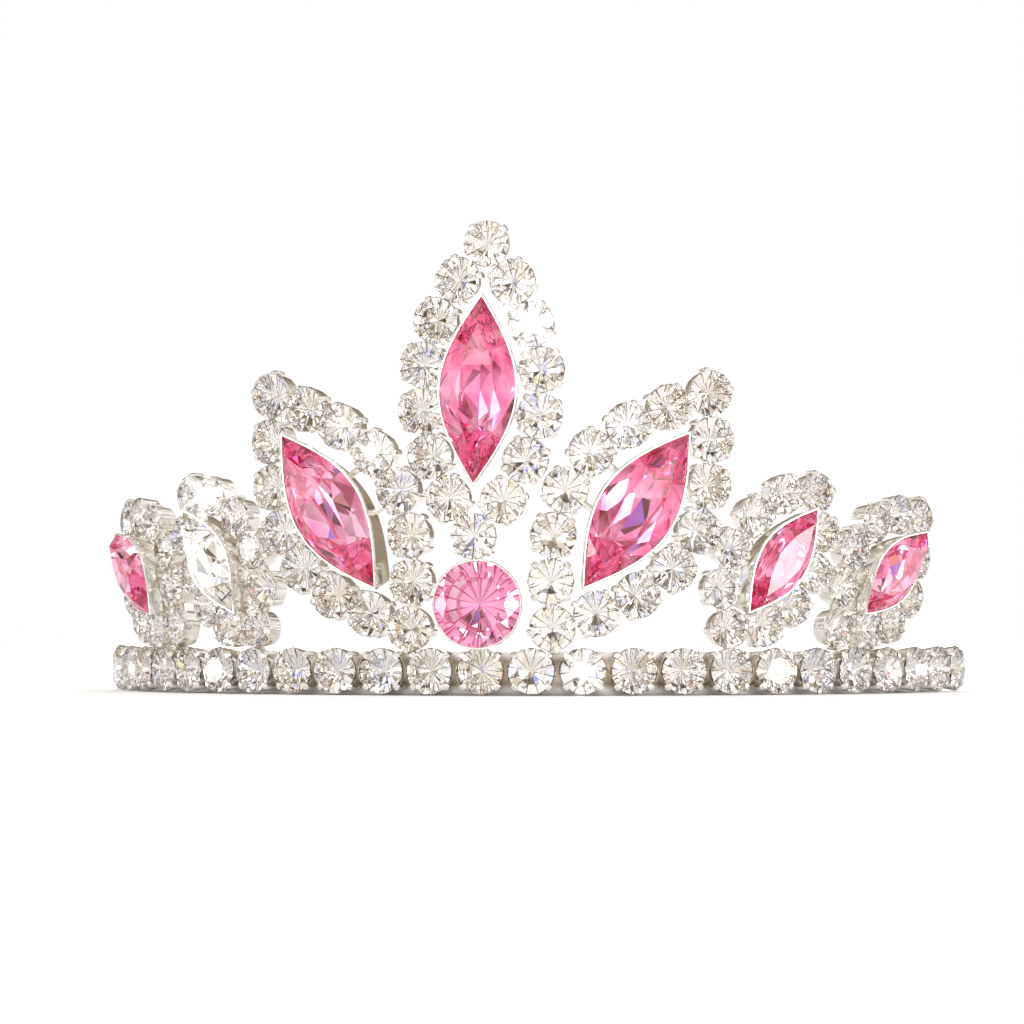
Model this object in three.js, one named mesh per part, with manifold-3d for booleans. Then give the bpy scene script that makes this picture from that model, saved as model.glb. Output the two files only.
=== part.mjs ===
// Rhinestone tiara: a curved band of set clear stones carries seven marquise motifs and one round stone.
// Millimetres, +Z up, front towards -Y. It stands on the lower edge of its band, and the origin is at the
// bottom centre of its box.
import * as THREE from 'three';
import { mergeVertices } from 'three/addons/utils/BufferGeometryUtils.js';
import Module from 'manifold-3d';

const wasm = await Module();
wasm.setup();

// Band. Arc lengths are measured at the face radius, where the tables of the clear stones lie.
const FACE_RADIUS = 42.3;
const BAND_STONES = 25;
const BAND_PITCH = 4.7;
const STRIP_THICKNESS = 1.0;
const STRIP_TOP = 1.7;
const STRIP_BOTTOM = -2.2;
const SOLDER_SINK = 0.2;

// Clear stones: the radius of the cup's rim for each place, the depths of the back and the rim behind the
// table, and the widths of the back and the table as shares of the rim's radius.
const CUP_RADIUS = { band: 2.0, large: 2.05, small: 1.75 };
const CUP_SIDES = 8;
const CUP_DEPTH = 2.5;
const CUP_BACK_SHARE = 0.85;
const RIM_DEPTH = 0.75;
const TABLE_SHARE = 0.55;

// Solder links between cups: a square bar, most of it inside the cups.
const LINK_SECTION = 0.9;
const LINK_DEPTH = 1.6;
const WAIST_SHARE = 0.3;
const TIE_REACH_SHARE = 0.6;

// Main stones: half sizes in the plane of the girdle, and heights over the tables of the clear stones.
const MAIN_STONES = {
  large: { halfLength: 8.5, halfWidth: 3.5, girdle: 0.7, table: 2.6, keel: -2.1, sides: 12 },
  small: { halfLength: 6.0, halfWidth: 2.5, girdle: 0.6, table: 2.0, keel: -1.7, sides: 12 },
  round: { halfLength: 3.95, halfWidth: 3.95, girdle: 0.8, table: 2.2, keel: -2.2, sides: 16 },
};
const GIRDLE_THICKNESS = 0.2;
const KEEL_SHARE = 2 / 3;
const MAIN_TABLE_SHARE = 0.5;
const SEAT_GAP = 0.4;
const RIM_THICKNESS = 0.3;
const RIM_DROP = 0.05;
const SETTING_FLOOR = 0.4;
const SETTING_BACK_SHARE = 0.72;

// Motifs: place of the centre, lean of the long axis to the side, and the lens that the cups' centres follow.
// A lens with a taper of 1 has the shape of a cosine arch, and a smaller taper makes it fuller.
const CENTRE_MOTIF = {
  angle: 0, height: 25.25, lean: 2.6, size: 'large',
  halfLength: 13.15, halfWidth: 5.7, taper: 0.85, perSide: 6,
};
const PAIRED_MOTIFS = {
  inner: {
    angle: 19.0, height: 14.45, lean: 34.9, size: 'large',
    halfLength: 12.95, halfWidth: 6.35, taper: 1.0, perSide: 6,
  },
  middle: {
    angle: 38.1, height: 10.0, lean: 38.0, size: 'small',
    halfLength: 7.85, halfWidth: 4.3, taper: 0.55, perSide: 4,
  },
  outer: {
    angle: 56.7, height: 8.95, lean: 51.0, size: 'small',
    halfLength: 8.1, halfWidth: 4.6, taper: 0.85, perSide: 4,
  },
};
const ROUND_HEIGHT = 6.0;
const CLEAR_MARQUISE = 'middle_left';

// Corners closer than this are one corner.
const WELD = 1e-4;

// Finishes
const SILVER = { color: 0xd9d8d4, roughness: 0.2, metalness: 0.9 };
const PINK = { color: 0xec78a5, roughness: 0.05, metalness: 0.0 };
const CLEAR = { color: 0xeef0f2, roughness: 0.05, metalness: 0.0 };

// Closed solid from a three.js geometry, with its shared corners joined and its empty triangles dropped.
function solidOf(geometry, matrix = new THREE.Matrix4()) {
  const bare = new THREE.BufferGeometry();
  bare.setAttribute('position', geometry.getAttribute('position').clone());
  bare.setIndex(geometry.index);
  const merged = mergeVertices(bare.applyMatrix4(matrix), WELD);
  const corners = [];
  for (let i = 0; i < merged.index.count; i += 3) {
    const [a, b, c] = [0, 1, 2].map((k) => merged.index.getX(i + k));
    if (a !== b && b !== c && c !== a) {
      corners.push(a, b, c);
    }
  }
  const vertProperties = new Float32Array(merged.getAttribute('position').array);
  const triVerts = new Uint32Array(corners);
  return new wasm.Manifold(new wasm.Mesh({ numProp: 3, vertProperties, triVerts }));
}

function joined(solids) {
  return solids.reduce((whole, next) => whole.add(next));
}

function meshOf(name, solid, finish) {
  const { vertProperties, triVerts } = solid.getMesh();
  const geometry = new THREE.BufferGeometry();
  geometry.setAttribute('position', new THREE.BufferAttribute(vertProperties, 3));
  geometry.setIndex(new THREE.BufferAttribute(triVerts, 1));
  geometry.computeVertexNormals();
  const mesh = new THREE.Mesh(geometry, new THREE.MeshStandardMaterial(finish));
  mesh.name = name;
  return mesh;
}

// Seat on the band's cylinder: X runs along the band to the right, Y is up and Z points out to the front.
function seatAt(arc, height) {
  const turn = arc / FACE_RADIUS;
  const right = new THREE.Vector3(Math.cos(turn), Math.sin(turn), 0);
  const up = new THREE.Vector3(0, 0, 1);
  const out = new THREE.Vector3(Math.sin(turn), -Math.cos(turn), 0);
  const place = out.clone().multiplyScalar(FACE_RADIUS).addScaledVector(up, height);
  return new THREE.Matrix4().makeBasis(right, up, out).setPosition(place);
}

// One clear stone fused to its cup, turned round its own axis, with the stone's table at height 0.
function cupSolid(radius, seat) {
  const profile = [
    [0, -CUP_DEPTH],
    [radius * CUP_BACK_SHARE, -CUP_DEPTH],
    [radius, -RIM_DEPTH],
    [radius * TABLE_SHARE, 0],
    [0, 0],
  ];
  const points = profile.map(([across, height]) => new THREE.Vector2(across, height));
  const turned = new THREE.LatheGeometry(points, CUP_SIDES, Math.PI / CUP_SIDES);
  return solidOf(turned.rotateX(Math.PI / 2), seat);
}

// Bar of solder from one seat to another, at the given depths behind the tables.
function linkSolid(from, to, fromDepth = LINK_DEPTH, toDepth = LINK_DEPTH) {
  const start = new THREE.Vector3(0, 0, -fromDepth).applyMatrix4(from);
  const end = new THREE.Vector3(0, 0, -toDepth).applyMatrix4(to);
  const along = end.clone().sub(start).normalize();
  const out = new THREE.Vector3().setFromMatrixColumn(from, 2);
  const side = out.clone().cross(along).normalize();
  const place = start.clone().lerp(end, 0.5);
  const matrix = new THREE.Matrix4().makeBasis(along, side, along.clone().cross(side)).setPosition(place);
  return solidOf(new THREE.BoxGeometry(start.distanceTo(end), LINK_SECTION, LINK_SECTION), matrix);
}

// Turned profile whose round plan is drawn out to a marquise plan with its long axis along Y. A radius of
// zero becomes a keel, which ends short of the tips.
function drawnOut(profile, stretch, sides) {
  const points = profile.map(([across, height]) => new THREE.Vector2(across, height));
  const geometry = new THREE.LatheGeometry(points, sides);
  const position = geometry.getAttribute('position');
  for (let i = 0; i < position.count; i += 1) {
    const [across, height] = profile[i % profile.length];
    const turn = (2 * Math.PI * Math.floor(i / profile.length)) / sides;
    const share = (2 * Math.asin(Math.sin(turn))) / Math.PI;
    const keel = stretch * THREE.MathUtils.clamp(share, -KEEL_SHARE, KEEL_SHARE);
    const pointed = across > 0 ? (across + stretch) * share : keel;
    const round = across * Math.sin(turn);
    position.setXYZ(i, across * Math.cos(turn), stretch > 0 ? pointed : round, height);
  }
  return geometry;
}

// Main stone: a table, a ring of crown facets, a thin girdle and a pavilion that runs down to its keel.
function mainStone(size) {
  const { halfLength, halfWidth, girdle, table, keel, sides } = MAIN_STONES[size];
  const profile = [
    [0, keel],
    [halfWidth, girdle],
    [halfWidth, girdle + GIRDLE_THICKNESS],
    [halfWidth * MAIN_TABLE_SHARE, table],
    [0, table],
  ];
  return drawnOut(profile, halfLength - halfWidth, sides);
}

// Setting: a solid cup, and the hollow to cut from it, which is the pavilion moved down by the seat gap.
function settingSolids(size) {
  const { halfLength, halfWidth, girdle, table, keel, sides } = MAIN_STONES[size];
  const drop = SEAT_GAP * Math.hypot(1, (girdle - keel) / halfWidth);
  const body = [
    [0, keel - drop - SETTING_FLOOR],
    [halfWidth * SETTING_BACK_SHARE, keel - drop - SETTING_FLOOR],
    [halfWidth + RIM_THICKNESS, girdle - drop - RIM_DROP],
    [0, girdle - drop - RIM_DROP],
  ];
  const hollow = [
    [0, keel - drop],
    [halfWidth, girdle - drop],
    [halfWidth, table],
    [0, table],
  ];
  return [body, hollow].map((profile) => solidOf(drawnOut(profile, halfLength - halfWidth, sides)));
}

// Side of the lens that a halo follows, from the lower tip to the upper one.
class LensSide extends THREE.Curve {
  constructor({ halfLength, halfWidth, taper }) {
    super();
    Object.assign(this, { halfLength, halfWidth, taper });
  }

  getPoint(t, target = new THREE.Vector2()) {
    const arch = Math.sin(t * Math.PI) ** this.taper;
    return target.set(this.halfWidth * arch, this.halfLength * (2 * t - 1));
  }
}

// Centres of a halo's cups in order round the lens, evenly spaced, in the motif's own plane.
function haloCentres(motif) {
  const right = new LensSide(motif).getSpacedPoints(motif.perSide + 1);
  const left = right.slice(1, -1).reverse();
  return right.concat(left.map((centre) => new THREE.Vector2(-centre.x, centre.y)));
}

// Seat of a motif's main stone, leant with the motif.
function motifSeat({ angle, height, lean }) {
  const seat = seatAt(THREE.MathUtils.degToRad(angle) * FACE_RADIUS, height);
  return seat.multiply(new THREE.Matrix4().makeRotationZ(-THREE.MathUtils.degToRad(lean)));
}

// Seats of a halo's cups in the motif's own frame. They follow the band's cylinder, and each is turned so
// that a flat side of its cup faces along the chain.
function haloSeats(motif, centres) {
  const lean = -THREE.MathUtils.degToRad(motif.lean);
  const middle = THREE.MathUtils.degToRad(motif.angle) * FACE_RADIUS;
  const toMotif = motifSeat(motif).invert();
  return centres.map((centre, i) => {
    const leant = centre.clone().rotateAround(new THREE.Vector2(), lean);
    const along = centres.at((i + 1) % centres.length).clone().sub(centres.at(i - 1));
    const turn = new THREE.Matrix4().makeRotationZ(along.angle() + lean);
    return seatAt(middle + leant.x, motif.height + leant.y).multiply(turn).premultiply(toMotif);
  });
}

// Solder tie from a cup at the waist into the solid flank of the setting, below the hollow.
function tieSolid(cup, size) {
  const start = new THREE.Vector3(0, 0, -LINK_DEPTH).applyMatrix4(cup);
  const reach = MAIN_STONES[size].halfWidth * TIE_REACH_SHARE;
  const foot = new THREE.Matrix4().setPosition(Math.sign(start.x) * reach, start.y, start.z);
  return linkSolid(cup, foot, LINK_DEPTH, 0);
}

// Halo: a closed chain of cups, each soldered to the next, round the setting that the cups at the waist are
// soldered to as well.
function haloSolid(motif) {
  const centres = haloCentres(motif);
  const seats = haloSeats(motif, centres);
  const cups = seats.map((cup) => cupSolid(CUP_RADIUS[motif.size], cup));
  const links = seats.map((cup, i) => linkSolid(cup, seats[(i + 1) % seats.length]));
  const atWaist = seats.filter((cup, i) => Math.abs(centres[i].y) < WAIST_SHARE * motif.halfLength);
  const ties = atWaist.map((cup) => tieSolid(cup, motif.size));
  const [setting, hollow] = settingSolids(motif.size);
  return joined([setting, ...cups, ...links, ...ties]).subtract(hollow);
}

// Band: the strip, extruded from its plan with one flat for each cup, and the cups soldered to its front.
// An arc is drawn with twice as many straight pieces as the curve segments that are asked for.
function bandSolid() {
  const half = (BAND_STONES * BAND_PITCH) / 2 / FACE_RADIUS;
  const front = -Math.PI / 2;
  const outside = FACE_RADIUS - CUP_DEPTH + SOLDER_SINK;
  const plan = new THREE.Shape();
  plan.absarc(0, 0, outside, front - half, front + half, false);
  plan.absarc(0, 0, outside - STRIP_THICKNESS, front + half, front - half, true);
  const depth = STRIP_TOP - STRIP_BOTTOM;
  const curveSegments = BAND_STONES / 2;
  const strip = new THREE.ExtrudeGeometry(plan, { depth, bevelEnabled: false, curveSegments });
  const cups = Array.from({ length: BAND_STONES }, (_, i) => {
    const arc = (i - (BAND_STONES - 1) / 2) * BAND_PITCH;
    return cupSolid(CUP_RADIUS.band, seatAt(arc, 0));
  });
  return joined([solidOf(strip.translate(0, 0, STRIP_BOTTOM)), ...cups]);
}

const tiara = new THREE.Group();

// Pieces that share one seat go into a group that is placed there.
function addAt(seat, ...pieces) {
  const group = new THREE.Group();
  group.applyMatrix4(seat);
  group.add(...pieces);
  tiara.add(group);
}

function addMotif(name, motif) {
  const halo = meshOf(`halo_${name}`, haloSolid(motif), SILVER);
  const finish = name === CLEAR_MARQUISE ? CLEAR : PINK;
  const stone = meshOf(`stone_${name}`, solidOf(mainStone(motif.size)), finish);
  addAt(motifSeat(motif), halo, stone);
}

tiara.add(meshOf('band', bandSolid(), SILVER));
addMotif('centre', CENTRE_MOTIF);
for (const [place, motif] of Object.entries(PAIRED_MOTIFS)) {
  addMotif(`${place}_left`, { ...motif, angle: -motif.angle, lean: -motif.lean });
  addMotif(`${place}_right`, motif);
}
const [roundCup, roundHollow] = settingSolids('round');
const roundSetting = meshOf('round_setting', roundCup.subtract(roundHollow), SILVER);
const roundStone = meshOf('round_stone', solidOf(mainStone('round')), PINK);
addAt(seatAt(0, ROUND_HEIGHT), roundSetting, roundStone);

// The origin goes to the bottom centre of the box.
const box = new THREE.Box3().setFromObject(tiara, true);
const centre = box.getCenter(new THREE.Vector3());
tiara.position.set(-centre.x, -centre.y, -box.min.z);

export default tiara;
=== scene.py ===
# %% [markdown]
# # A rhinestone tiara
# The tiara is a curved silver strip with a row of clear stones in cups. Above it stand seven motifs, each a
# ring of the same cups round one long pointed stone, and one round pink stone sits at the front.
# The solids come from the CAD model and stay as they are. This lesson dresses them: each solid is hidden, and
# a finer piece of the same size takes its place, with cut facets, claws, solder and foil.

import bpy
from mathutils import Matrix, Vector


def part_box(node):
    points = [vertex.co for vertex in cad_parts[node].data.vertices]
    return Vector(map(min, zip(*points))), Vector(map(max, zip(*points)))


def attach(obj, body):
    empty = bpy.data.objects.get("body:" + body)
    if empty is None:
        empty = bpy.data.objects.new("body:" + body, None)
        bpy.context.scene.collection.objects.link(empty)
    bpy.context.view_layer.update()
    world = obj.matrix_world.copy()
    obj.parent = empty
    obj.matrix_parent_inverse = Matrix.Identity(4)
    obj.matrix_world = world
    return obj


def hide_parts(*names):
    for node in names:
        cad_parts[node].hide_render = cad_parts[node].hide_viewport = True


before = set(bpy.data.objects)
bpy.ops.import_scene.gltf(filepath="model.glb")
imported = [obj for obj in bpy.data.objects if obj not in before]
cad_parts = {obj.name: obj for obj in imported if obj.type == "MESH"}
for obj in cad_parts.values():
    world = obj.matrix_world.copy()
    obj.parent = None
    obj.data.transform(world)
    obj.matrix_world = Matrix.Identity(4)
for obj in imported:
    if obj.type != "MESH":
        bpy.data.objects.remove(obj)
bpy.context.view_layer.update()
print("solids:", len(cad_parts))

# %% The rest of the toolbox
import math

import bmesh
import bpy
from mathutils import Matrix, Vector

MM = 0.001
SAME_PLACE = 0.001 * MM
scene = bpy.context.scene


def as_mesh(bm, name):
    mesh = bpy.data.meshes.new(name)
    bm.to_mesh(mesh)
    bm.free()
    return mesh


def smooth(faces):
    for face in faces:
        face.smooth = True


print("one millimetre is", MM, "metres")

# %% [markdown]
# ## Where everything sits
# All clear stones face outwards from one upright cylinder, the cylinder that the band is bent round. So a
# seat is given by an arc length along the band and a height, and it comes out as a matrix: X to the right
# along the band, Y up, and Z out to the front. Every small shape is modelled once at the origin, looking up
# along Z, and is then carried to its seats by these matrices. That is shorter and safer than placing each
# stone by hand.

# %% Seats on the band's cylinder
FACE_RADIUS = 42.3 * MM
STRIP_BOTTOM = -2.2 * MM
band_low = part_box("band")[0]
AXIS = Vector((0, band_low.y + FACE_RADIUS, band_low.z - STRIP_BOTTOM))


def seat_at(arc, height):
    turned = Matrix.Rotation(arc / FACE_RADIUS, 4, "Z")
    outward = Matrix.Translation((0, -FACE_RADIUS, height)) @ Matrix.Rotation(math.pi / 2, 4, "X")
    return Matrix.Translation(AXIS) @ turned @ outward


print("axis of the band in mm:", [round(1000 * value, 2) for value in AXIS])

# %% [markdown]
# ## The motifs
# A motif has a place on the band, a lean to the side and a lens that the centres of its cups follow. The
# three pairs are mirrored left and right, and the centre motif leans a little. The cups are spaced evenly by
# walking along the lens, as a maker does who bends one length of cup chain into a loop.

# %% Plan of the motifs
CENTRE = {"angle": 0, "height": 25.25, "lean": 2.6, "size": "large",
          "half_length": 13.15, "half_width": 5.7, "taper": 0.85, "per_side": 6}
PAIRS = {
    "inner": {"angle": 19.0, "height": 14.45, "lean": 34.9, "size": "large",
              "half_length": 12.95, "half_width": 6.35, "taper": 1.0, "per_side": 6},
    "middle": {"angle": 38.1, "height": 10.0, "lean": 38.0, "size": "small",
               "half_length": 7.85, "half_width": 4.3, "taper": 0.55, "per_side": 4},
    "outer": {"angle": 56.7, "height": 8.95, "lean": 51.0, "size": "small",
              "half_length": 8.1, "half_width": 4.6, "taper": 0.85, "per_side": 4},
}
motifs = {"centre": CENTRE}
for place, motif in PAIRS.items():
    motifs[place + "_left"] = {**motif, "angle": -motif["angle"], "lean": -motif["lean"]}
    motifs[place + "_right"] = motif
print("motifs:", ", ".join(motifs))

# %% Cups spaced along a lens
LENS_STEPS = 200


def lens_point(motif, share):
    arch = max(0.0, math.sin(math.pi * share)) ** motif["taper"]
    return Vector((motif["half_width"] * arch, motif["half_length"] * (2 * share - 1), 0)) * MM


def halo_centres(motif):
    points = [lens_point(motif, i / LENS_STEPS) for i in range(LENS_STEPS + 1)]
    walked = [0.0]
    for start, end in zip(points, points[1:]):
        walked.append(walked[-1] + (end - start).length)
    right = []
    for k in range(motif["per_side"] + 2):
        wanted = walked[-1] * k / (motif["per_side"] + 1)
        i = max(j for j in range(LENS_STEPS) if walked[j] <= wanted)
        part = (wanted - walked[i]) / (walked[i + 1] - walked[i])
        right.append(lens_point(motif, (i + part) / LENS_STEPS))
    left = [Vector((-centre.x, centre.y, 0)) for centre in reversed(right[1:-1])]
    return right + left


def arc_of(motif):
    return math.radians(motif["angle"]) * FACE_RADIUS


def lean_of(motif):
    return Matrix.Rotation(-math.radians(motif["lean"]), 4, "Z")


def motif_seat(motif):
    return seat_at(arc_of(motif), motif["height"] * MM) @ lean_of(motif)


def halo_seats(motif):
    centres = halo_centres(motif)
    lean = lean_of(motif)
    middle = arc_of(motif)
    seats = []
    for i, centre in enumerate(centres):
        leant = lean @ centre
        along = lean @ (centres[(i + 1) % len(centres)] - centres[i - 1])
        turned = Matrix.Rotation(math.atan2(along.y, along.x), 4, "Z")
        seats.append(seat_at(middle + leant.x, motif["height"] * MM + leant.y) @ turned)
    return seats


print("cups in the halos:", sum(len(halo_seats(motif)) for motif in motifs.values()))

# %% [markdown]
# ## Silver
# The metal is bright silver plate. A mirror without any flaw looks like plastic, so two noises break it up:
# a broad one makes the plate a little greyer and duller here and there, and a fine one gives the tiny
# hammered unevenness that cast and soldered findings have. The front of the strip lies in the shade between
# the cups. It gets a rougher silver whose colour is painted shade: darker, with two brown lines of painted
# shade along it drawn by height, and lighter at both edges.

# %% Helpers for new materials
NOISE_LOW = 0.3
NOISE_HIGH = 0.7


def new_material(name):
    material = bpy.data.materials.new(name)
    material.use_nodes = True
    nodes = material.node_tree.nodes
    return material, nodes, material.node_tree.links, nodes["Principled BSDF"]


def noise_on(nodes, links, scale, detail, space="Object"):
    place = nodes.new("ShaderNodeTexCoord")
    noise = nodes.new("ShaderNodeTexNoise")
    noise.inputs["Scale"].default_value = scale
    noise.inputs["Detail"].default_value = detail
    links.new(place.outputs[space], noise.inputs["Vector"])
    return noise.outputs["Fac"]


def ramp_on(nodes, links, source, stops):
    ramp = nodes.new("ShaderNodeValToRGB")
    elements = ramp.color_ramp.elements
    elements.remove(elements[1])
    elements[0].position = stops[0][0]
    elements[0].color = (*stops[0][1], 1)
    for position, colour in stops[1:]:
        elements.new(position).color = (*colour, 1)
    links.new(source, ramp.inputs["Fac"])
    return ramp.outputs["Color"]


def spread_on(nodes, links, source, low, high):
    spread = nodes.new("ShaderNodeMapRange")
    spread.inputs["From Min"].default_value = NOISE_LOW
    spread.inputs["From Max"].default_value = NOISE_HIGH
    spread.inputs["To Min"].default_value = low
    spread.inputs["To Max"].default_value = high
    links.new(source, spread.inputs["Value"])
    return spread.outputs["Result"]


print("material helpers ready")

# %% Silver plate
PLATE_CLOUDS = 700
DENT_GRAIN = 5000
DENT_DEPTH = 0.02 * MM
silver, nodes, links, shader = new_material("silver_plate")
shader.inputs["Metallic"].default_value = 1.0
cloud = noise_on(nodes, links, PLATE_CLOUDS, 4)
tone = ramp_on(nodes, links, cloud, [
    (0.3, (0.88, 0.85, 0.80)), (0.55, (0.94, 0.92, 0.885)), (0.75, (0.98, 0.97, 0.95))])
links.new(tone, shader.inputs["Base Color"])
links.new(spread_on(nodes, links, cloud, 0.20, 0.12), shader.inputs["Roughness"])
bump = nodes.new("ShaderNodeBump")
bump.inputs["Strength"].default_value = 0.15
bump.inputs["Distance"].default_value = DENT_DEPTH
links.new(noise_on(nodes, links, DENT_GRAIN, 2), bump.inputs["Height"])
links.new(bump.outputs["Normal"], shader.inputs["Normal"])
print("made", silver.name)

# %% Painted shade on the strip between the cups
SHADE_LINES_HEIGHT = 4.4 * MM
painted_shade_silver, nodes, links, shader = new_material("painted_shade_silver")
shader.inputs["Metallic"].default_value = 1.0
shader.inputs["Roughness"].default_value = 0.4
place = nodes.new("ShaderNodeTexCoord")
split = nodes.new("ShaderNodeSeparateXYZ")
links.new(place.outputs["Object"], split.inputs["Vector"])
height = nodes.new("ShaderNodeMapRange")
height.inputs["From Min"].default_value = 0.0
height.inputs["From Max"].default_value = SHADE_LINES_HEIGHT
links.new(split.outputs["Z"], height.inputs["Value"])
# The colour is painted shade: dark with two brown lines along the strip, and light at both edges.
links.new(ramp_on(nodes, links, height.outputs["Result"], [
    (0.10, (0.92, 0.90, 0.88)), (0.24, (0.40, 0.31, 0.22)), (0.50, (0.70, 0.62, 0.53)),
    (0.70, (0.44, 0.35, 0.26)), (0.82, (0.93, 0.91, 0.89))]), shader.inputs["Base Color"])
print("made", painted_shade_silver.name)

# %% [markdown]
# ## Foiled glass
# A rhinestone is cut glass with a mirror foil on its back. Painting sparkles on a surface never looks right,
# so the stones are made as they are: the front facets are clear refracting glass, and the back facets of the
# same closed shape are mirror metal. Light goes in through the crown, bounces between the foiled facets and
# comes out again, and the glitter in each stone appears by itself. The foil varies a little in tint, which
# gives the champagne and lavender flecks. The narrow facets between the large ones of the back get a darker
# foil, brown in the clear stones and deep pink in the pink ones. This dark foil is a painted dark reflection:
# it draws the fine dark star.

# %% Clear glass and its foil
GLASS_INDEX = 1.56
TINT_CLOUDS = 300
CLEAR_CLOUDS = 900
CLEAR_MIRROR = 1.0


def glass(name, low, high):
    material, nodes, links, shader = new_material(name)
    shader.inputs["Transmission Weight"].default_value = 1.0
    shader.inputs["IOR"].default_value = GLASS_INDEX
    shader.inputs["Roughness"].default_value = 0.0
    cloud = noise_on(nodes, links, TINT_CLOUDS, 2)
    tint = ramp_on(nodes, links, cloud, [(0.35, low), (0.65, high)])
    links.new(tint, shader.inputs["Base Color"])
    return material


def foil(name, stops, scale, mirror):
    material, nodes, links, shader = new_material(name)
    shader.inputs["Metallic"].default_value = mirror
    cloud = noise_on(nodes, links, scale, 2)
    links.new(ramp_on(nodes, links, cloud, stops), shader.inputs["Base Color"])
    links.new(spread_on(nodes, links, cloud, 0.0, 0.06), shader.inputs["Roughness"])
    return material


clear_glass = glass("clear_glass", (0.97, 0.98, 1.0), (1.0, 0.985, 0.96))
clear_foil = foil("clear_foil", [
    (0.30, (0.70, 0.72, 0.93)), (0.36, (0.95, 0.95, 0.96)), (0.58, (0.97, 0.96, 0.95)),
    (0.66, (0.93, 0.88, 0.78)), (0.72, (0.96, 0.95, 0.93))
], CLEAR_CLOUDS, CLEAR_MIRROR)
# Painted dark reflection: a brown foil for the narrow back facets, which draws the dark star.
clear_painted_star = foil("clear_painted_star", [
    (0.35, (0.16, 0.10, 0.05)), (0.65, (0.42, 0.31, 0.19))
], CLEAR_CLOUDS, CLEAR_MIRROR)
print("made", clear_glass.name + ",", clear_foil.name, "and", clear_painted_star.name)

# %% Pink glass and its foil
PINK_CLOUDS = 350
PINK_MIRROR = 0.95
pink_glass = glass("pink_glass", (1.0, 0.74, 0.86), (1.0, 0.82, 0.91))
pink_foil = foil("pink_foil", [
    (0.32, (0.90, 0.30, 0.50)), (0.50, (0.97, 0.52, 0.69)), (0.68, (0.99, 0.72, 0.84))
], PINK_CLOUDS, PINK_MIRROR)
# Painted dark reflection: a deep pink foil for the narrow back facets, which draws the dark star.
pink_painted_star = foil("pink_painted_star", [
    (0.35, (0.62, 0.08, 0.24)), (0.65, (0.80, 0.20, 0.40))
], PINK_CLOUDS, PINK_MIRROR)
rose_foil = foil("rose_foil", [
    (0.32, (0.97, 0.60, 0.77)), (0.50, (0.99, 0.70, 0.84)), (0.68, (0.99, 0.79, 0.89))
], PINK_CLOUDS, PINK_MIRROR)
print("made", ", ".join(material.name for material in (pink_glass, pink_foil, pink_painted_star, rose_foil)))

# %% [markdown]
# ## Cutting a stone
# A brilliant has a flat table, kite facets that touch its corners, star facets between them, a thin girdle
# and a pointed back. Working out each facet by hand is long. It is enough to place the corners in rings and
# wrap them in a convex hull, which leaves flat faces as a grinding wheel does on a lump of glass. On a round
# stone the kites come out flat, because the in-between corners are set on their planes. The back starts from
# two rings of corners that are turned a little against each other, so a narrow facet comes out between each
# two wide ones. A pointed stone has the same rings drawn out to a lens plan, and a keel instead of a point
# at the back.

# %% Rings of corners


def ring(bm, sides, half_width, half_length, height, pointed, turn=0):
    turned = Matrix.Rotation(turn, 4, "Z")
    corners = bmesh.ops.create_circle(bm, segments=sides, radius=1, matrix=turned)["verts"]
    if pointed:
        for corner in corners:
            corner.co.y = math.asin(max(-1, min(1, corner.co.y))) * 2 / math.pi
    bmesh.ops.scale(bm, vec=(half_width, half_length, 1), verts=corners)
    bmesh.ops.translate(bm, vec=(0, 0, height), verts=corners)
    return corners


print("a ring of corners is a circle, drawn out where the stone is pointed")

# %% The cut
SIDES = 8
SPOKE_TURN = math.radians(1.5)
GIRDLE_THICKNESS = 0.15 * MM
POINT_CROWN = 1.5
FLAT_ANGLE = math.radians(1.5)
# A facet's normal tells the front from the back: its Z is 1 at the table and below 0 on the back.
FOIL_BELOW = 0.05
BACK_BELOW = -0.5


def cut_stone(half_width, half_length, table, girdle, back, table_share, keel, spokes):
    """Closed faceted stone: facets with material 0 are the glass front, those with 1 the foiled back, and
    those with 2 the narrow facets between the large ones of the back."""
    bm = bmesh.new()
    pointed = half_length > half_width
    step = math.cos(math.pi / SIDES)
    edge = girdle + GIRDLE_THICKNESS
    slope = (table - edge) / (1 - table_share)
    star_share = (table_share * step + 1) / 2
    star = table - slope * (star_share * step - table_share)
    end_share, star_end = table_share, star_share
    if pointed:
        end_share = 1 - (1 - table_share) * half_width / half_length * POINT_CROWN
        star_end = (end_share + 1) / 2
    ring(bm, SIDES, half_width * table_share, half_length * end_share, table, pointed)
    ring(bm, SIDES, half_width * star_share, half_length * star_end, star, pointed, math.pi / SIDES)
    ring(bm, 2 * SIDES, half_width, half_length, edge, pointed)
    for turn in (-SPOKE_TURN, SPOKE_TURN):
        ring(bm, spokes, half_width, half_length, girdle, pointed, turn)
    bm.verts.new((0, keel, back))
    bm.verts.new((0, -keel, back))
    bmesh.ops.remove_doubles(bm, verts=bm.verts, dist=SAME_PLACE)
    wrapped = bmesh.ops.convex_hull(bm, input=bm.verts)
    spare = {item for key in ("geom_interior", "geom_unused") for item in wrapped[key]}
    bmesh.ops.delete(bm, geom=[v for v in spare if isinstance(v, bmesh.types.BMVert)], context="VERTS")
    bmesh.ops.delete(bm, geom=[e for e in bm.edges if not e.link_faces], context="EDGES")
    bmesh.ops.dissolve_limit(bm, angle_limit=FLAT_ANGLE, verts=bm.verts, edges=bm.edges)
    bmesh.ops.recalc_face_normals(bm, faces=bm.faces)
    bm.normal_update()
    for facet in bm.faces:
        facet.material_index = 1 if facet.normal.z < FOIL_BELOW else 0
    # The narrowest back facets take material 2, the foil of painted dark reflection that draws the star.
    backs = [facet for facet in bm.faces if facet.normal.z < BACK_BELOW]
    for facet in sorted(backs, key=lambda facet: facet.calc_area())[:spokes]:
        facet.material_index = 2
    return as_mesh(bm, "cut_stone")


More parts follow.
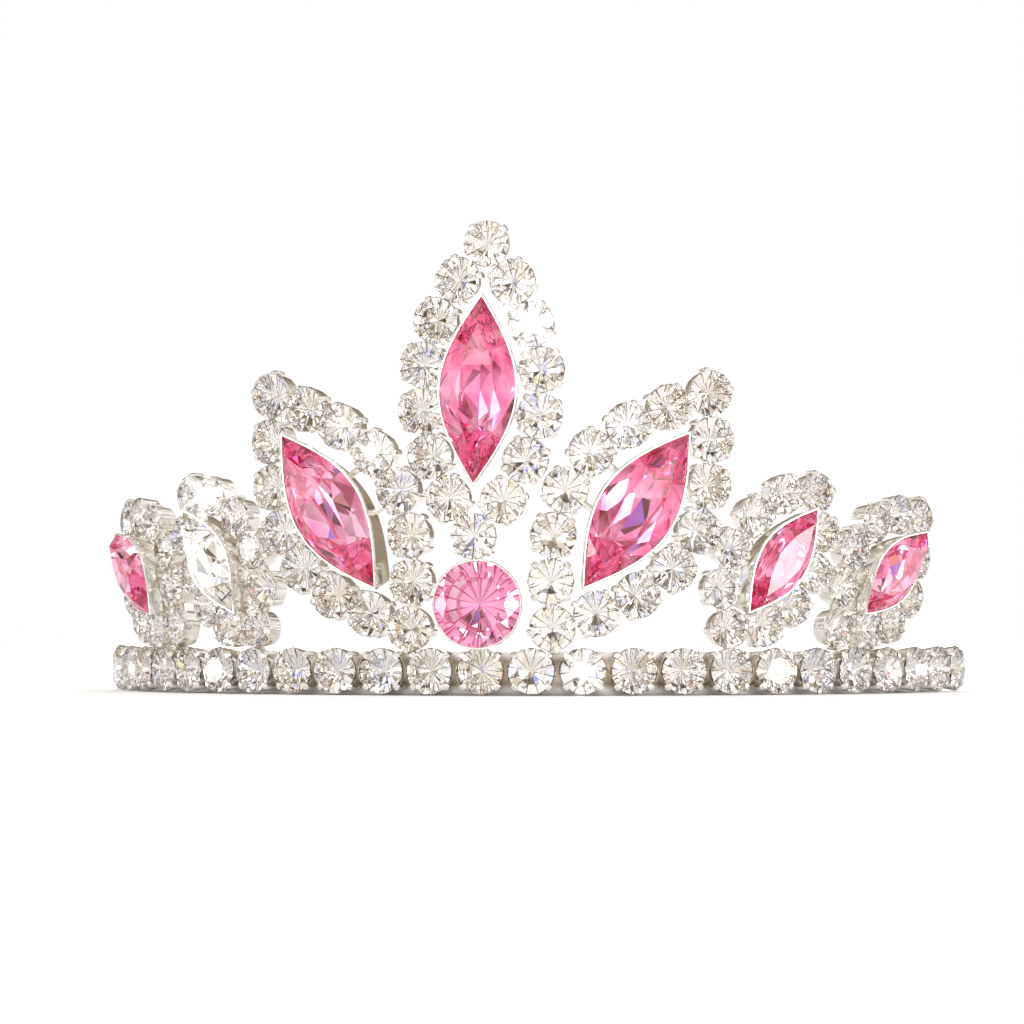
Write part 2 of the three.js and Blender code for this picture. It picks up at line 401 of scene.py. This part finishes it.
CUP_RADIUS = {"band": 2.13 * MM, "large": 2.11 * MM, "small": 1.84 * MM}
STONE_SHARE = 0.97
CLEAR_TABLE = 0
CLEAR_GIRDLE = -0.6 * MM
CLEAR_BACK = -2.25 * MM
CLEAR_TABLE_SHARE = 0.6
CLEAR_SPOKES = 12
clear_stones = {}
for size, radius in CUP_RADIUS.items():
    half = radius * STONE_SHARE
    clear_stones[size] = cut_stone(half, half, CLEAR_TABLE, CLEAR_GIRDLE, CLEAR_BACK, CLEAR_TABLE_SHARE, 0,
                                   CLEAR_SPOKES)
    print(size, "clear stone:", len(clear_stones[size].polygons), "facets")

# %% [markdown]
# ## Cup and claws
# Each clear stone sits in a cup of thin sheet with four claws bent over its edge. The cup is a profile spun
# round its axis, and the hollow inside follows the back of the stone. A claw starts as a flat oval on the
# wall and is extruded upwards three times, first along the wall and then narrower and further inwards, so
# that it hugs the crown. The cups of the band are a little wider than the others.

# %% One cup with its claws
CUP_SIDES = 16
# Each corner of the profile is a share of the radius and a height in mm.
CUP_PROFILE = ((0, -2.5), (0.80, -2.5), (0.86, -2.4), (0.97, -1.0), (1, -0.7), (0.99, -0.56), (0.975, -0.60),
               (0.97, -0.85), (0, -2.38))
CLAWS = 4
CLAW_SIDES = 8
CLAW_HALF_THICKNESS = 0.17 * MM
CLAW_HALF_WIDTH = 0.32 * MM
CLAW_FOOT = -1.9 * MM
# Each bend is a step inwards and upwards in mm and the share of the width that it keeps.
CLAW_BENDS = ((-0.08, 0.95, 1.0), (0.08, 0.45, 0.95), (0.28, 0.22, 0.72))
BAND_CUP_WIDER = 1.06


def spun(bm, profile, steps):
    corners = [bm.verts.new((across, 0, height)) for across, height in profile]
    edges = [bm.edges.new(pair) for pair in zip(corners, corners[1:])]
    bmesh.ops.spin(bm, geom=corners + edges, cent=(0, 0, 0), axis=(0, 0, 1), dvec=(0, 0, 0),
                   angle=2 * math.pi, steps=steps, use_merge=True, use_duplicate=False)
    bmesh.ops.remove_doubles(bm, verts=bm.verts, dist=SAME_PLACE)


def grow(bm, cap, keep=False):
    """Extrudes a cap and returns the new cap and its corners. The old cap would close off the inside, so it
    is deleted, but for the one that closes the foot."""
    grown = bmesh.ops.extrude_face_region(bm, geom=[cap])["geom"]
    corners = [item for item in grown if isinstance(item, bmesh.types.BMVert)]
    new_cap = next(item for item in grown if isinstance(item, bmesh.types.BMFace))
    if not keep:
        bmesh.ops.delete(bm, geom=[cap], context="FACES_ONLY")
    return new_cap, corners


def add_claw(bm, radius, turn):
    foot = bmesh.ops.create_circle(bm, segments=CLAW_SIDES, radius=1, cap_ends=True)["verts"]
    bmesh.ops.scale(bm, vec=(CLAW_HALF_THICKNESS, CLAW_HALF_WIDTH, 1), verts=foot)
    bmesh.ops.translate(bm, vec=(radius, 0, CLAW_FOOT), verts=foot)
    made = list(foot)
    cap = foot[0].link_faces[0]
    for step, (inward, upward, width) in enumerate(CLAW_BENDS):
        cap, corners = grow(bm, cap, keep=step == 0)
        middle = cap.calc_center_median()
        bmesh.ops.scale(bm, vec=(1, width, 1), space=Matrix.Translation(-middle), verts=corners)
        bmesh.ops.translate(bm, vec=(-inward * MM, 0, upward * MM), verts=corners)
        made += corners
    bmesh.ops.rotate(bm, cent=(0, 0, 0), matrix=Matrix.Rotation(turn, 3, "Z"), verts=made)


def cup_mesh(radius):
    bm = bmesh.new()
    spun(bm, [(radius * across, height * MM) for across, height in CUP_PROFILE], CUP_SIDES)
    for k in range(CLAWS):
        add_claw(bm, radius, (2 * k + 1) * math.pi / CLAWS)
    bmesh.ops.recalc_face_normals(bm, faces=bm.faces)
    smooth(bm.faces)
    return as_mesh(bm, "cup")


cups = {size: cup_mesh(radius) for size, radius in CUP_RADIUS.items()}
cups["band"].transform(Matrix.Diagonal((BAND_CUP_WIDER, 1, 1, 1)))
print("faces of a cup:", len(cups["band"].polygons))

# %% [markdown]
# ## Carrying shapes to their seats
# A chain of cups is one piece, as it is soldered in one. The helper below copies a shape to every seat into
# one mesh. A finished piece stays at the origin, with its place in its mesh. Extruding makes new faces in an
# order that can change from run to run, so the faces are sorted by their first two corners at the end.

# %% Helpers that finish a piece
SHARP_ANGLE = math.radians(30)
STONE_TILT = 0.05
NOD_STEP = 1.7
SWAY_STEP = 2.9
TURN_STEP = 2.4


def add_at(bm, shape, seat):
    placed = shape.copy()
    placed.transform(seat)
    bm.from_mesh(placed)
    bpy.data.meshes.remove(placed)


def set_in(i):
    """Stones drop into their cups at any turn and a little out of level, so neighbours look different."""
    nod = Matrix.Rotation(STONE_TILT * math.sin(NOD_STEP * i), 4, "X")
    sway = Matrix.Rotation(STONE_TILT * math.cos(SWAY_STEP * i), 4, "Y")
    return nod @ sway @ Matrix.Rotation(TURN_STEP * i, 4, "Z")


def finish_piece(bm, name, materials, node, sharp=True):
    bm.verts.index_update()
    count = len(bm.verts)
    bm.faces.sort(key=lambda face: face.verts[0].index * count + face.verts[1].index)
    mesh = as_mesh(bm, name)
    for material in materials:
        mesh.materials.append(material)
    if sharp:
        mesh.set_sharp_from_angle(angle=SHARP_ANGLE)
    piece = bpy.data.objects.new(name, mesh)
    scene.collection.objects.link(piece)
    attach(piece, "root")
    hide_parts(node)
    print(name, "has", len(mesh.polygons), "faces")


print("edges of over", round(math.degrees(SHARP_ANGLE)), "degrees stay sharp in the metal")

# %% [markdown]
# ## The band
# The strip is a long flat piece with rounded ends, bent to the curve of a head. It is made as a smith makes
# it: cut flat, corners rounded, and then bent. The flat piece is sliced into short lengths first, because
# only an edge can bend.

# %% The strip, flat and then bent
BAND_STONES = 25
BAND_PITCH = 4.7 * MM
STRIP_TOP = 1.7 * MM
STRIP_THICKNESS = 1.0 * MM
STRIP_OUTSIDE = FACE_RADIUS - 2.3 * MM
STRIP_SLICES = 100
STRIP_CORNER = 1.5 * MM
STRIP_RIM = 0.12 * MM
RIM_ANGLE = math.radians(60)
FACING_OUT = 0.9
half_strip = BAND_STONES * BAND_PITCH / 2


def strip_into(bm):
    flat = bmesh.ops.create_grid(bm, x_segments=1, y_segments=1, size=1)["verts"]
    bmesh.ops.scale(bm, vec=(half_strip, (STRIP_TOP - STRIP_BOTTOM) / 2, 1), verts=flat)
    bmesh.ops.translate(bm, vec=(0, (STRIP_TOP + STRIP_BOTTOM) / 2, 0), verts=flat)
    bmesh.ops.bevel(bm, geom=flat, offset=STRIP_CORNER, segments=5, profile=0.5, affect="VERTICES",
                    material=-1)
    for k in range(1, STRIP_SLICES):
        across = half_strip * (2 * k / STRIP_SLICES - 1)
        bmesh.ops.bisect_plane(bm, geom=bm.verts[:] + bm.edges[:] + bm.faces[:],
                               plane_co=(across, 0, 0), plane_no=(1, 0, 0))
    grown = bmesh.ops.extrude_face_region(bm, geom=bm.faces[:])["geom"]
    back = [item for item in grown if isinstance(item, bmesh.types.BMVert)]
    bmesh.ops.translate(bm, vec=(0, 0, -STRIP_THICKNESS), verts=back)
    bmesh.ops.recalc_face_normals(bm, faces=bm.faces)
    rim = [edge for edge in bm.edges if edge.calc_face_angle(0) > RIM_ANGLE]
    bmesh.ops.bevel(bm, geom=rim, offset=STRIP_RIM, segments=2, profile=0.5, affect="EDGES", material=-1)
    for corner in bm.verts:
        turned = Matrix.Rotation(corner.co.x / FACE_RADIUS, 3, "Z")
        corner.co = AXIS + turned @ Vector((0, -STRIP_OUTSIDE - corner.co.z, corner.co.y))
    bmesh.ops.recalc_face_normals(bm, faces=bm.faces)
    bm.normal_update()
    smooth(bm.faces)
    # Faces that look straight out, the strip front between the cups, get the painted shade material.
    for face in bm.faces:
        outward = face.calc_center_median() - AXIS
        outward.z = 0
        face.material_index = 1 if face.normal.dot(outward.normalized()) > FACING_OUT else 0


band_seats = [seat_at((i - (BAND_STONES - 1) / 2) * BAND_PITCH, 0) for i in range(BAND_STONES)]
bm = bmesh.new()
strip_into(bm)
for seat in band_seats:
    add_at(bm, cups["band"], seat)
finish_piece(bm, "band_silver", [silver, painted_shade_silver], "band")
bm = bmesh.new()
for i, seat in enumerate(band_seats):
    add_at(bm, clear_stones["band"], seat @ set_in(i))
finish_piece(bm, "band_stones", [clear_glass, clear_foil, clear_painted_star], "band", sharp=False)

# %% [markdown]
# ## Settings of the large stones
# A pointed stone sits in a closed cup with the same lens plan, with a thin rim that shows as a bright line
# round the stone. It is one lens, extruded up to the rim, in over the rim and down into the hollow. Scaling a
# lens of this kind gives a lens of the same kind, so plain scaling is all that each step needs.

# %% Sizes of the large stones
MAIN_SIZES = {
    "large": {"half_length": 8.5, "half_width": 3.5, "girdle": 0.7, "table": 2.6, "back": -2.1, "rim": 0.2},
    "small": {"half_length": 6.0, "half_width": 2.5, "girdle": 0.6, "table": 2.0, "back": -1.7, "rim": 0.12},
    "round": {"half_length": 3.95, "half_width": 3.95, "girdle": 0.95, "table": 2.2, "back": -2.2,
              "rim": 0.12},
}
MAIN_STONES = {}
for size, sizes in MAIN_SIZES.items():
    MAIN_STONES[size] = {key: value * MM for key, value in sizes.items()}
SETTING_SIDES = 48
ROUND_HEIGHT = 6.0 * MM
print("large stones:", ", ".join(MAIN_STONES))

# %% A setting
BASE_DEPTH = 0.85 * MM
BASE_SHARE = 0.72
LIP_RISE = 0.28 * MM
LIP_DEPTH = 0.2 * MM
HOLLOW_DEPTH = 0.1 * MM
HOLLOW_SHARE = 0.25


def setting_into(bm, size, seat):
    stone = MAIN_STONES[size]
    wide, long, thick = stone["half_width"], stone["half_length"], stone["rim"]
    pointed = long > wide
    base = stone["back"] - BASE_DEPTH
    top = stone["girdle"] + LIP_RISE
    foot, hollow = BASE_SHARE * wide, HOLLOW_SHARE * wide
    steps = [(foot, foot + long - wide, base),
             (wide + thick, long + thick, top - LIP_DEPTH),
             (wide + 0.5 * thick, long + 0.5 * thick, top),
             (wide - 0.2 * thick, long - 0.5 * thick, top),
             (wide + 0.1 * thick, long + 0.1 * thick, top - LIP_DEPTH),
             (wide + 0.1 * thick, long + 0.1 * thick, top - 2 * LIP_DEPTH),
             (hollow, hollow + long - wide, stone["back"] - HOLLOW_DEPTH)]
    before = set(bm.verts)
    corners = ring(bm, SETTING_SIDES, steps[0][0], steps[0][1], steps[0][2], pointed)
    cap = bmesh.ops.contextual_create(bm, geom=corners)["faces"][0]
    for (old_wide, old_long, old_height), (new_wide, new_long, height) in zip(steps, steps[1:]):
        cap, corners = grow(bm, cap, keep=old_height == base)
        bmesh.ops.scale(bm, vec=(new_wide / old_wide, new_long / old_long, 1), verts=corners)
        bmesh.ops.translate(bm, vec=(0, 0, height - old_height), verts=corners)
    fresh = [corner for corner in bm.verts if corner not in before]
    faces = {face for corner in fresh for face in corner.link_faces}
    bmesh.ops.recalc_face_normals(bm, faces=list(faces))
    smooth(faces)
    bmesh.ops.transform(bm, matrix=seat, verts=fresh)


round_seat = seat_at(0, ROUND_HEIGHT)
bm = bmesh.new()
setting_into(bm, "round", round_seat)
finish_piece(bm, "round_setting_silver", [silver], "round_setting")

# %% [markdown]
# ## The halos
# Solder joins each cup to the next, and the cups at the waist to the setting. The joints are short round bars
# low between the cups, where the real solder sits out of sight of the front.

# %% Solder bars
LINK_RADIUS = 0.45 * MM
TIE_RADIUS = 0.3 * MM
LINK_DEPTH = -1.6 * MM
BAR_SIDES = 10
WAIST_SHARE = 0.3
WALL_SHARE = 0.85
TIE_SHARE = 0.75


def bar_into(bm, start, end, radius):
    along = end - start
    turned = along.to_track_quat("Z", "Y").to_matrix().to_4x4()
    placed = Matrix.Translation((start + end) / 2) @ turned
    made = bmesh.ops.create_cone(bm, cap_ends=True, segments=BAR_SIDES, radius1=radius, radius2=radius,
                                 depth=along.length, matrix=placed)["verts"]
    smooth({face for corner in made for face in corner.link_faces})


print("solder bars are", 2 * LINK_RADIUS / MM, "mm thick")

# %% Cups, solder and setting of each motif
for name, motif in motifs.items():
    seats = halo_seats(motif)
    home = motif_seat(motif)
    reach = CUP_RADIUS[motif["size"]] * WALL_SHARE
    bm = bmesh.new()
    for i, seat in enumerate(seats):
        add_at(bm, cups[motif["size"]], seat)
        here = seat @ Vector((0, 0, LINK_DEPTH))
        there = seats[(i + 1) % len(seats)] @ Vector((0, 0, LINK_DEPTH))
        wall = (there - here).normalized() * reach
        bar_into(bm, here + wall, there - wall, LINK_RADIUS)
        flat = home.inverted() @ here
        if abs(flat.y) < WAIST_SHARE * motif["half_length"] * MM:
            side = math.copysign(1, flat.x)
            outer = Vector((flat.x - side * reach, flat.y, flat.z))
            inner = Vector((side * MAIN_STONES[motif["size"]]["half_width"] * TIE_SHARE, flat.y, flat.z))
            bar_into(bm, home @ outer, home @ inner, TIE_RADIUS)
    setting_into(bm, motif["size"], home)
    finish_piece(bm, "halo_" + name + "_silver", [silver], "halo_" + name)
    bm = bmesh.new()
    for i, seat in enumerate(seats):
        add_at(bm, clear_stones[motif["size"]], seat @ set_in(i))
    finish_piece(bm, "halo_" + name + "_stones", [clear_glass, clear_foil, clear_painted_star], "halo_" + name,
                 sharp=False)

# %% [markdown]
# ## The large stones
# Six of the seven pointed stones are pink and one is clear. They stand higher than the clear stones, so their
# crowns are steep, and the keel at the back shows through the table.

# %% Pointed stones and the round one
CLEAR_MARQUISE = "middle_left"
KEEL_SHARE = 0.66
TABLE_SHARES = {"large": 0.5, "small": 0.5, "round": 0.66}
SPOKES = {"large": 12, "small": 12, "round": 14}
main_cuts = {}
for size, sizes in MAIN_STONES.items():
    keel = (sizes["half_length"] - sizes["half_width"]) * KEEL_SHARE
    main_cuts[size] = cut_stone(sizes["half_width"], sizes["half_length"], sizes["table"], sizes["girdle"],
                                sizes["back"], TABLE_SHARES[size], keel, SPOKES[size])
    print(size, "stone:", len(main_cuts[size].polygons), "facets")
for name, motif in motifs.items():
    finish, slot = [pink_glass, pink_foil, pink_painted_star], "pink_crystal"
    if name == CLEAR_MARQUISE:
        finish, slot = [clear_glass, clear_foil, clear_painted_star], "clear_crystal"
    bm = bmesh.new()
    add_at(bm, main_cuts[motif["size"]], motif_seat(motif))
    finish_piece(bm, "pointed_stone_" + name, finish, "stone_" + name, sharp=False)
bm = bmesh.new()
add_at(bm, main_cuts["round"], round_seat)
finish_piece(bm, "round_pink_stone", [pink_glass, rose_foil, pink_painted_star], "round_stone",
             sharp=False)

# %% [markdown]
# ## Floor, light and camera
# The tiara stands on a plain white floor. To the camera the paper glows more with distance, so it fades into
# the white background without a horizon. This glow is painted light, and where it is weak, near the tiara, it
# leaves a painted soft shadow. Cut stones show what is round them, so an even white sky would leave them
# blank: the sky is mostly white, with thin brown lines and a few dark and tinted patches in it, as the frames
# and gaps of a light tent have, and it is dim straight behind the tiara. Only reflections, refraction and
# bounced light see that sky, and the camera itself sees plain white.

# %% The floor
FLOOR_RADIUS = 0.7
FLOOR_SIDES = 64
PAPER_CLOUDS = 40
bm = bmesh.new()
bmesh.ops.create_circle(bm, cap_ends=True, segments=FLOOR_SIDES, radius=FLOOR_RADIUS)
floor_mesh = as_mesh(bm, "floor")
floor = bpy.data.objects.new("floor", floor_mesh)
scene.collection.objects.link(floor)
paper, nodes, links, shader = new_material("white_paper")
shader.inputs["Roughness"].default_value = 0.9
shader.inputs["Specular IOR Level"].default_value = 0.1
grain = ramp_on(nodes, links, noise_on(nodes, links, PAPER_CLOUDS, 3), [
    (0.3, (0.93, 0.93, 0.93)), (0.7, (0.95, 0.95, 0.95))])
links.new(grain, shader.inputs["Base Color"])
seen = nodes.new("ShaderNodeLightPath")
place = nodes.new("ShaderNodeTexCoord")
away = nodes.new("ShaderNodeVectorMath")
away.operation = "LENGTH"
links.new(place.outputs["Object"], away.inputs[0])
# Painted light: the floor glows to the camera only, weakly near the tiara, which paints a soft shadow round
# it.
glow = ramp_on(nodes, links, away.outputs["Value"], [
    (0.035, (0.05, 0.05, 0.05)), (0.06, (0.3, 0.3, 0.3)), (0.25, (0.9, 0.9, 0.9))])
links.new(glow, shader.inputs["Emission Color"])
links.new(seen.outputs["Is Camera Ray"], shader.inputs["Emission Strength"])
floor_mesh.materials.append(paper)
print("floor radius:", FLOOR_RADIUS, "m")

# %% The sky of the light tent
PANEL_SCALE = 7.0
GLINT_SCALE = 9.0
SKY_STRENGTH = 1.32
world = bpy.data.worlds.new("light_tent")
world.use_nodes = True
scene.world = world
nodes, links = world.node_tree.nodes, world.node_tree.links
sky = nodes["Background"]


def times(first, second):
    mix = nodes.new("ShaderNodeMix")
    mix.data_type = "RGBA"
    mix.blend_type = "MULTIPLY"
    mix.inputs["Factor"].default_value = 1.0
    links.new(first, mix.inputs["A"])
    links.new(second, mix.inputs["B"])
    return mix.outputs["Result"]


def facing(direction):
    place = nodes.new("ShaderNodeTexCoord")
    dot = nodes.new("ShaderNodeVectorMath")
    dot.operation = "DOT_PRODUCT"
    dot.inputs[1].default_value = direction
    links.new(place.outputs["Generated"], dot.inputs[0])
    return dot.outputs["Value"]


WHITE = (1.0, 1.0, 1.0)
panels = ramp_on(nodes, links, noise_on(nodes, links, PANEL_SCALE, 3, "Generated"), [
    (0.32, (0.012, 0.006, 0.002)), (0.39, (0.11, 0.065, 0.025)), (0.42, (0.55, 0.46, 0.35)), (0.45, WHITE),
    (0.48, (0.13, 0.08, 0.035)), (0.51, WHITE), (0.56, (0.97, 0.95, 0.91)), (0.59, (0.14, 0.09, 0.04)),
    (0.62, WHITE)])
glints = ramp_on(nodes, links, noise_on(nodes, links, GLINT_SCALE, 1, "Generated"), [
    (0.27, (0.35, 0.42, 1.0)), (0.32, WHITE), (0.68, WHITE), (0.73, (1.0, 0.90, 0.60))])
behind = ramp_on(nodes, links, facing((0, 1, 0)), [(0.62, WHITE), (0.86, (0.34, 0.28, 0.22))])
links.new(times(panels, times(glints, behind)), sky.inputs["Color"])
sky.inputs["Strength"].default_value = SKY_STRENGTH
plain = nodes.new("ShaderNodeBackground")
plain.inputs["Color"].default_value = (1, 1, 1, 1)
seen = nodes.new("ShaderNodeLightPath")
either = nodes.new("ShaderNodeMixShader")
links.new(seen.outputs["Is Camera Ray"], either.inputs["Fac"])
links.new(sky.outputs["Background"], either.inputs[1])
links.new(plain.outputs["Background"], either.inputs[2])
links.new(either.outputs["Shader"], nodes["World Output"].inputs["Surface"])
print("sky made")

# %% [markdown]
# Boxes at both sides light the edges of the tiara. The large box above lights the floor, and it is hidden
# from reflections, where it would whiten everything. Two lamps and three weak strips give some facets a
# bright flash.

# %% Soft boxes
LIGHT_TARGET = Vector((0, 0, 0.02))


def area_lamp(name, size, power, place, back):
    light = bpy.data.lights.new(name, "AREA")
    light.size = size
    light.energy = power
    lamp = bpy.data.objects.new(name, light)
    lamp.location = place
    lamp.rotation_euler = back.to_track_quat("Z", "Y").to_euler()
    scene.collection.objects.link(lamp)
    return lamp


def soft_box(name, azimuth, elevation, distance, size, power, mirrored=True):
    a, e = math.radians(azimuth), math.radians(elevation)
    away = Vector((math.sin(a) * math.cos(e), -math.cos(a) * math.cos(e), math.sin(e))) * distance
    box = area_lamp(name, size, power, LIGHT_TARGET + away, away)
    box.visible_glossy = mirrored
    box.visible_transmission = mirrored


# Angles are in degrees, distances and sizes in metres, and the power is in watts.
soft_box("right_box", 69, 4, 0.7, 0.16, 1.0)
soft_box("far_right_box", 104, 5, 0.7, 0.14, 0.2)
soft_box("left_box", -85, 5, 0.7, 0.16, 0.6)
soft_box("top_box", 0, 70, 0.8, 0.7, 2.0, mirrored=False)
soft_box("right_lamp", 36, 34, 0.6, 0.08, 0.16)
soft_box("left_lamp", -42, 28, 0.6, 0.08, 0.16)
soft_box("front_strip", -8.3, 7.5, 0.65, 0.09, 0.085)
soft_box("right_strip", 29.7, 5, 0.65, 0.09, 0.085)
soft_box("left_strip", -46.3, 5, 0.65, 0.09, 0.085)
print("soft boxes and lamps:", len(bpy.data.lights))

# %% [markdown]
# The camera stands a little to the right and just above the floor. Light bounces many times between the
# foiled facets before it leaves a stone. With the usual limit of four mirror bounces, parts of the stones
# turn black, so the limits are raised.

# %% The camera
CAMERA_AZIMUTH = 8.3
CAMERA_ELEVATION = 0.6
CAMERA_DISTANCE = 0.5
FOCAL_PIXELS = 5113
IMAGE_PIXELS = 1024
CAMERA_AIM = Vector((0.0005, 0, 0.0168))
camera_data = bpy.data.cameras.new("camera")
camera_data.lens = FOCAL_PIXELS / IMAGE_PIXELS * camera_data.sensor_width
camera = bpy.data.objects.new("camera", camera_data)
scene.collection.objects.link(camera)
scene.camera = camera
a, e = math.radians(CAMERA_AZIMUTH), math.radians(CAMERA_ELEVATION)
camera.location = AXIS + CAMERA_DISTANCE * Vector((math.sin(a), -math.cos(a), math.tan(e)))
camera.rotation_euler = (CAMERA_AIM - camera.location).to_track_quat("-Z", "Y").to_euler()
camera_data.clip_start = 0.01
camera_data.clip_end = 10
scene.view_settings.view_transform = "Standard"
scene.cycles.max_bounces = 20
scene.cycles.glossy_bounces = 16
scene.cycles.transmission_bounces = 16
print("camera at mm:", [round(1000 * value, 1) for value in camera.location])

# %% [markdown]
# ## Sparkle
# The brightest glints overload a lens and show as small stars. Each of five tiny lamps stands where the table
# of one stone mirrors it into the camera. A streak filter then draws rays from the few pixels that are far
# brighter than white, and leaves everything else alone.

# %% Spark lamps
SPARK_ENERGY = 0.005
SPARK_SIZE = 0.002
SPARK_DISTANCE = 0.6
# Each spark is a chain, the number of a stone in it and a share of the energy.
SPARKS = (("band", 14, 1.0), ("band", 22, 0.3), ("centre", 5, 1.3), ("inner_left", 4, 0.8),
          ("middle_left", 4, 0.7))


def spark_lamp(name, stone, share):
    face = stone.to_3x3() @ Vector((0, 0, 1))
    sight = (stone.translation - camera.location).normalized()
    bounced = sight - 2 * sight.dot(face) * face
    place = stone.translation + SPARK_DISTANCE * bounced
    return area_lamp(name, SPARK_SIZE, SPARK_ENERGY * share, place, bounced)


for chain, i, share in SPARKS:
    seat = band_seats[i] if chain == "band" else halo_seats(motifs[chain])[i]
    lamp = spark_lamp("spark_" + chain + "_" + str(i), seat @ set_in(i), share)
    print(lamp.name, "at mm:", [round(1000 * value) for value in lamp.location])

# %% Star glints
scene.use_nodes = True
steps, joins = scene.node_tree.nodes, scene.node_tree.links
steps.clear()
picture = steps.new("CompositorNodeRLayers")
stars = steps.new("CompositorNodeGlare")
result = steps.new("CompositorNodeComposite")
stars.glare_type = "STREAKS"
for name, value in (("Threshold", 11), ("Strength", 0.55), ("Streaks", 6), ("Streaks Angle", 0.3),
                    ("Iterations", 3), ("Fade", 0.88), ("Color Modulation", 0)):
    stars.inputs[name].default_value = value
joins.new(picture.outputs["Image"], stars.inputs["Image"])
joins.new(stars.outputs["Image"], result.inputs["Image"])
print("star glints of", stars.inputs["Streaks"].default_value, "streaks")
